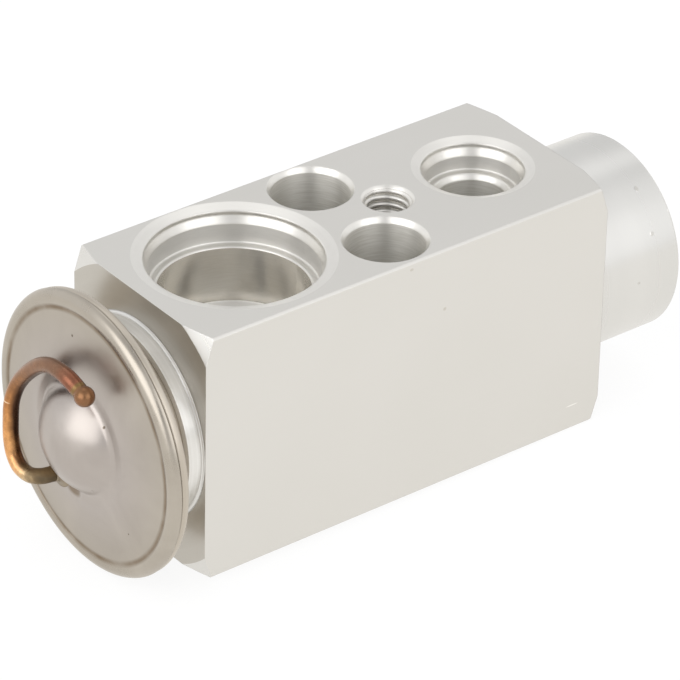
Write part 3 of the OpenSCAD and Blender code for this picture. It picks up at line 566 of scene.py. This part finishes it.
# Charging tube: a bent copper tube that swells towards its end and closes in a melted bead.
# Points are the height over the cover's foot, then the place across the head, then the radius.
TUBE_POINTS = [
    (-0.9, *TUBE_FOOT, TUBE_R), (0.2, *TUBE_FOOT, TUBE_R), (1.4, 4.05, -6.8, TUBE_R),
    (2.5, 4.7, -7, TUBE_R), (3, 6.3, -7.4, TUBE_R), (3.3, 7.9, -6.9, TUBE_R), (3.3, 9.1, -5.6, TUBE_R),
    (3.3, 9.6, -3.6, TUBE_R), (3.1, 9.9, -1.3, TUBE_R), (2.8, 10.1, 0.9, TUBE_R), (2.5, 9.7, 2.9, TUBE_R),
    (2.3, 8.7, 4.8, TUBE_R), (2.3, 6.8, 7, TUBE_R), (2.4, 4.5, 9, TUBE_R), (2.5, 2.2, 10.2, TUBE_R),
    (2.6, 0, 10.6, 1.03), (2.6, -1.7, 10.5, 1.06), (2.5, -3.2, 10, 1.06)]
TUBE_SIDES, SPAN_STEPS, BEAD_STEPS = 28, 8, 12
# In its last spans the tube stops this share of the bead's radius from the bead's middle, and
# it enters the bead this thick. The bead's last ring stops just short of its pole.
LAST_SPANS, BEAD_SHARE, BEAD_NECK_R, BEAD_LAST_ANGLE = 3, 0.8, 1.03, 179


def tube_line():
    """The tube's middle line as (point, radius), smoothed, with the bead's rings at its end."""
    bead = Vector((FOOT_X - BEAD_PLACE[0], *BEAD_PLACE[1:]))
    points = [Vector(p[:3]) for p in TUBE_POINTS] + [bead]
    radii = [p[3] for p in TUBE_POINTS] + [TUBE_R]
    line = []
    for i in range(len(points) - 1):
        a, b, c, d = (points[min(max(i + k, 0), len(points) - 1)] for k in (-1, 0, 1, 2))
        free = i < len(points) - 1 - LAST_SPANS
        for k in range(SPAN_STEPS):
            t = k / SPAN_STEPS
            q = b + 0.5 * t * ((c - a) + t * (2 * a - 5 * b + 4 * c - d + t * (3 * (b - c) + d - a)))
            if free or (q - bead).length > BEAD_R * BEAD_SHARE:
                line.append((q, radii[i] + (radii[i + 1] - radii[i]) * t))
    way = (bead - line[-1][0]).normalized()
    first = degrees(asin(BEAD_NECK_R / BEAD_R))
    for k in range(BEAD_STEPS + 1):
        angle = radians(first + (BEAD_LAST_ANGLE - first) * k / BEAD_STEPS)
        line.append((bead - way * BEAD_R * cos(angle), BEAD_R * sin(angle)))
    return [(place(FOOT_X - q.x, q.y, q.z), r * MM) for q, r in line]


def sweep(line, sides, middle):
    """A closed skin round a line of (point, radius): one open ring extruded from place to place.

    Each vertex keeps how far along the line it is, and how much it faces the loop's middle."""
    bm = bmesh.new()
    along = bm.verts.layers.float.new("along")
    inside = bm.verts.layers.float.new("inside")
    ring = bmesh.ops.create_circle(bm, cap_ends=False, segments=sides, radius=1)["verts"]
    way = (line[1][0] - line[0][0]).normalized()
    turn = Vector((0, 0, 1)).rotation_difference(way)
    first_place, first_r = line[0]
    bmesh.ops.transform(bm, verts=ring, matrix=Matrix.LocRotScale(first_place, turn, Vector((first_r,) * 3)))
    edges = list(bm.edges)
    bmesh.ops.contextual_create(bm, geom=edges)
    for i in range(1, len(line)):
        here, r = line[i]
        before, r_before = line[i - 1]
        after = line[min(i + 1, len(line) - 1)][0]
        new_way = (after - before).normalized()
        grown = bmesh.ops.extrude_edge_only(bm, edges=edges)["geom"]
        verts = [g for g in grown if isinstance(g, bmesh.types.BMVert)]
        edges = [g for g in grown if isinstance(g, bmesh.types.BMEdge) and all(v in verts for v in g.verts)]
        move = (Matrix.Translation(here) @ way.rotation_difference(new_way).to_matrix().to_4x4()
                @ Matrix.Scale(r / r_before, 4) @ Matrix.Translation(-before))
        bmesh.ops.transform(bm, verts=verts, matrix=move)
        way = new_way
        to_middle = (middle - here).normalized()
        for vert in verts:
            vert[along] = i / (len(line) - 1)
            vert[inside] = (vert.co - here).normalized().dot(to_middle)
    bmesh.ops.contextual_create(bm, geom=edges)
    bmesh.ops.recalc_face_normals(bm, faces=bm.faces)
    return bm


finish_piece("copper_charging_tube", sweep(tube_line(), TUBE_SIDES, LOOP_MIDDLE), copper, "housing",
             ["charging_tube"])


# Braze that ran round the tube's foot: a hollow fillet from just inside the tube's wall out to
# the cover, and a little sunk in it
def braze_ring():
    inner_r, outer_r, height, hollow_r, sunk = 0.9, 2.1, 1.1, 1.05, 0.35
    section = ([(inner_r, -height)] + arc((outer_r, -height), hollow_r, 180, 90, steps=8)
               + [(outer_r, sunk), (inner_r, sunk)])
    return spin_profile(section, 40, place(FOOT_X, *TUBE_FOOT), closed=True)


finish_piece("braze_fillet", braze_ring(), braze_metal, "housing")


# Round root of the collar, where the tool's nose left its radius on the block's end face. It
# reaches a little into the collar and into the face.
def collar_root():
    start, root_r, into_collar, into_face = COLLAR_R + 0.015, 0.34, 0.06, 0.02
    section = ([(start - into_collar, into_face), (start - into_collar, -root_r)]
               + arc((start + root_r, -root_r), root_r, 180, 90, steps=8)
               + [(start + root_r, into_face)])
    return spin_profile(section, ROUND_STEPS, closed=True)


finish_piece("collar_root_fillet", collar_root(), turned, "housing")


# Screw threads cut in the block, as one ridge wound along the wall. Its first turn is cut off by
# the countersink, whose cone starts at mouth_r.
def thread(mouth, axis, wall_r, tip_r, mouth_r, turns, steps):
    """A wound ridge: mouth is the middle of the hole's mouth, and it winds along axis."""
    into_wall, below_mouth, off_cone = 0.04, 0.02 * MM, 0.03
    foot_half, tip_half = THREAD_PITCH * 0.43, THREAD_PITCH * 0.1
    foot_r, flank_l = wall_r + into_wall, 0.7 * THREAD_PITCH * MM
    bm = bmesh.new()
    out = axis.orthogonal().normalized()
    outline = [(foot_r, -foot_half), (tip_r, -tip_half), (tip_r, tip_half), (foot_r, foot_half)]
    verts = [bm.verts.new(mouth + (out * r + axis * t) * MM) for r, t in outline]
    face = bm.faces.new(verts)
    edges = [edge for edge in face.edges if abs((edge.verts[0].co - edge.verts[1].co).dot(axis)) < flank_l]
    bmesh.ops.subdivide_edges(bm, edges=edges, cuts=2)
    count = round(turns * steps)
    bmesh.ops.spin(bm, geom=bm.faces[:], cent=mouth, axis=axis, dvec=axis * (THREAD_PITCH * MM / steps),
                   angle=2 * pi * count / steps, steps=count, use_merge=False, use_duplicate=False)
    for vert in bm.verts:
        depth = (vert.co - mouth).dot(axis)
        from_axis = vert.co - mouth - axis * depth
        sunk = max(depth, below_mouth)
        vert.co += axis * (sunk - depth)
        cone = (mouth_r + off_cone) * MM - sunk
        if from_axis.length < cone:
            vert.co += from_axis.normalized() * (cone - from_axis.length)
    bmesh.ops.recalc_face_normals(bm, faces=bm.faces)
    return bm


stud_thread = thread(place(*STUD, TOP), Vector((0, 0, -1)), STUD_WALL_R, STUD_TIP_R, STUD_MOUTH_R,
                     STUD_TURNS, steps=48)
finish_piece("stud_hole_thread", stud_thread, burnished, "housing", smooth=False)
boss_thread = thread(place(BOSS_END, 0, 0), Vector((-1, 0, 0)), BOSS_WALL_R, BOSS_TIP_R, BOSS_MOUTH_R,
                     BOSS_TURNS, steps=96)
finish_piece("boss_thread", boss_thread, turned, "housing", smooth=False)


# Return spring: round wire with a closed turn at each end, seated on the ball carrier and on the
# adjusting screw. Its coils close up as the screw comes in.
def wound_spring(low, high):
    """The spring that fills the box from low to high, with its axis on the valve's."""
    wire_r, closed_gap, sides, per_turn = SPRING_WIRE_R * MM, 0.1 * MM, 20, 36
    coil_r = (high.z - low.z) / 2 - wire_r
    closed_pitch = 2 * wire_r + closed_gap
    open_turns = SPRING_TURNS - 2
    open_pitch = (high.x - low.x - 2 * wire_r - 2 * closed_pitch) / open_turns
    start = Vector((low.x + wire_r, AXIS.y, AXIS.z))
    bm = bmesh.new()
    wire = bmesh.ops.create_circle(bm, cap_ends=True, segments=sides, radius=wire_r)["verts"]
    bmesh.ops.rotate(bm, verts=wire, cent=(0, 0, 0), matrix=Matrix.Rotation(-pi / 2, 3, "X"))
    bmesh.ops.translate(bm, verts=wire, vec=start + Vector((0, 0, coil_r)))
    bmesh.ops.rotate(bm, verts=wire, cent=start, matrix=Matrix.Rotation(-pi / 2, 3, "X"))
    grown = bm.faces[:]
    for pitch, turns in ((closed_pitch, 1), (open_pitch, open_turns), (closed_pitch, 1)):
        grown = bmesh.ops.spin(bm, geom=grown, cent=start, axis=(1, 0, 0), dvec=(pitch / per_turn, 0, 0),
                               angle=2 * pi * turns, steps=round(turns * per_turn), use_merge=False,
                               use_duplicate=False)["geom_last"]
        start += Vector((pitch * turns, 0, 0))
    bmesh.ops.recalc_face_normals(bm, faces=bm.faces)
    return bm


spring_low, spring_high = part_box("return_spring")
spring_piece = finish_piece("wound_return_spring", wound_spring(spring_low, spring_high), spring_steel, None,
                            ["return_spring"])
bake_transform(spring_piece)


# Floor: the valve stands on the foot of its head and on the block's far lower edge, so the floor
# rises from under the lip to the far end
FLOOR_Z, FLOOR_RISE, FLOOR_R = -18.5, 1.5, 3


def floor_material():
    """White sweep: plain white to the camera, paper white to the metal, and it keeps the soft shadow."""
    material = bpy.data.materials.new("white sweep")
    material.use_nodes = True
    tree = material.node_tree
    tree.nodes.remove(tree.nodes["Principled BSDF"])
    matt = add(tree, "ShaderNodeBsdfDiffuse", {"Color": linear("#FFFFFF")})
    rays = add(tree, "ShaderNodeLightPath").outputs
    white = add(tree, "ShaderNodeMix", {"Factor": rays["Is Camera Ray"], A: linear("#FFFDF9"),
                                        B: linear("#FFFFFF")}, data_type="RGBA")
    glow = add(tree, "ShaderNodeEmission", {"Color": white.outputs[MIXED], "Strength": 1.02})
    seen = add(tree, "ShaderNodeMath", {0: rays["Is Camera Ray"], 1: rays["Is Glossy Ray"]},
               operation="MAXIMUM")
    share = add(tree, "ShaderNodeMath", {0: seen.outputs[0], 1: 0.85}, operation="MULTIPLY")
    mixed = add(tree, "ShaderNodeMixShader", {0: share.outputs[0], 1: matt.outputs[0], 2: glow.outputs[0]})
    tree.links.new(mixed.outputs[0], tree.nodes["Material Output"].inputs["Surface"])
    return material


bm = bmesh.new()
bmesh.ops.create_circle(bm, cap_ends=True, segments=96, radius=FLOOR_R)
foot = place(LIP_X, 0, FLOOR_Z)
tilt = (FLOOR_RISE * MM) / (place(BLOCK_L, 0, 0).x - foot.x)
bmesh.ops.transform(bm, verts=bm.verts, matrix=Matrix.Translation(foot) @ Matrix.Rotation(-tilt, 4, "Y"))
floor_mesh = bpy.data.meshes.new("floor")
bm.to_mesh(floor_mesh)
bm.free()
floor_mesh.materials.append(floor_material())
floor = bpy.data.objects.new("floor", floor_mesh)
bpy.context.scene.collection.objects.link(floor)


# Light: a white tent with a soft panel left and right of the camera. The tent has a bright patch
# overhead and a gap along its ridge, it is greyer before and behind the valve than at the sides,
# and it is darker where the camera looks in.
LIT_PLACE = place(31, 0, 0)
# The way to each part of the tent as azimuth and elevation in degrees, the angles from it at
# which the patch and the opening start and end to fade, and how bright or dark each part is
TENT_WAYS = {"opening": (-38, 30), "patch": (142, 62), "side": (52, 0)}
PATCH_CORE, PATCH_EDGE, PATCH_GLOW = 9, 22, 0.6
OPENING_CORE, OPENING_EDGE, OPENING_DARK = 8, 16, 0.5
WALL_MIDDLE, WALL_SIDE, GAP_DARK = 0.82, 1.04, 0.3


def softbox(name, azimuth, elevation, distance, width, height, watts):
    """A soft panel at that way and distance in metres from the valve, turned to it."""
    data = bpy.data.lights.new(name, "AREA")
    data.shape = "RECTANGLE"
    data.size, data.size_y = width, height
    data.energy = watts
    lamp = bpy.data.objects.new(name, data)
    bpy.context.scene.collection.objects.link(lamp)
    back, turn = look(azimuth, elevation)
    lamp.rotation_mode = "QUATERNION"
    lamp.rotation_quaternion = turn
    lamp.location = LIT_PLACE + back * distance


softbox("left panel", azimuth=-82, elevation=27, distance=0.9, width=0.96, height=0.8, watts=3.2)
softbox("right panel", azimuth=4, elevation=28, distance=0.9, width=0.74, height=0.7, watts=1.45)

world = bpy.data.worlds.new("light tent")
bpy.context.scene.world = world
world.use_nodes = True
tree = world.node_tree
direction = add(tree, "ShaderNodeTexCoord").outputs["Generated"]
facing = {}
for part, way in TENT_WAYS.items():
    facing[part] = add(tree, "ShaderNodeVectorMath", {0: direction, 1: look(*way)[0]},
                       operation="DOT_PRODUCT").outputs["Value"]
height = add(tree, "ShaderNodeSeparateXYZ", {0: direction}).outputs["Z"]
aside = add(tree, "ShaderNodeMath", {0: facing["side"]}, operation="ABSOLUTE").outputs[0]
walls = add(tree, "ShaderNodeMapRange", {"Value": aside, "From Min": 0.35, "From Max": 0.65,
                                         "To Min": WALL_MIDDLE, "To Max": WALL_SIDE}).outputs[0]
patch = add(tree, "ShaderNodeMapRange", {"Value": facing["patch"], "From Min": cos(radians(PATCH_EDGE)),
                                         "From Max": cos(radians(PATCH_CORE)),
                                         "To Max": PATCH_GLOW}).outputs[0]
tent = add(tree, "ShaderNodeMath", {0: walls, 1: patch}, operation="ADD").outputs[0]
opening = add(tree, "ShaderNodeMapRange", {"Value": facing["opening"],
                                           "From Min": cos(radians(OPENING_EDGE)),
                                           "From Max": cos(radians(OPENING_CORE)),
                                           "To Max": OPENING_DARK}).outputs[0]
narrow = add(tree, "ShaderNodeMapRange", {"Value": aside, "From Min": 0.02, "From Max": 0.14,
                                          "To Min": GAP_DARK, "To Max": 0}).outputs[0]
high = add(tree, "ShaderNodeMapRange", {"Value": height, "From Min": 0.74, "From Max": 0.82}).outputs[0]
gap = add(tree, "ShaderNodeMath", {0: narrow, 1: high}, operation="MULTIPLY").outputs[0]
dark = add(tree, "ShaderNodeMath", {0: gap, 1: opening}, operation="MAXIMUM").outputs[0]
bright = add(tree, "ShaderNodeMath", {0: 1.0, 1: dark}, operation="SUBTRACT").outputs[0]
lit = add(tree, "ShaderNodeMath", {0: tent, 1: bright}, operation="MULTIPLY").outputs[0]
camera_ray = add(tree, "ShaderNodeLightPath").outputs["Is Camera Ray"]
strength = add(tree, "ShaderNodeMix", {"Factor": camera_ray, NUMBER_A: lit, NUMBER_B: 1.0})
background = tree.nodes["Background"]
background.inputs["Color"].default_value = linear("#FFFFFF")
tree.links.new(strength.outputs[0], background.inputs["Strength"])

bpy.context.scene.view_settings.view_transform = "Standard"
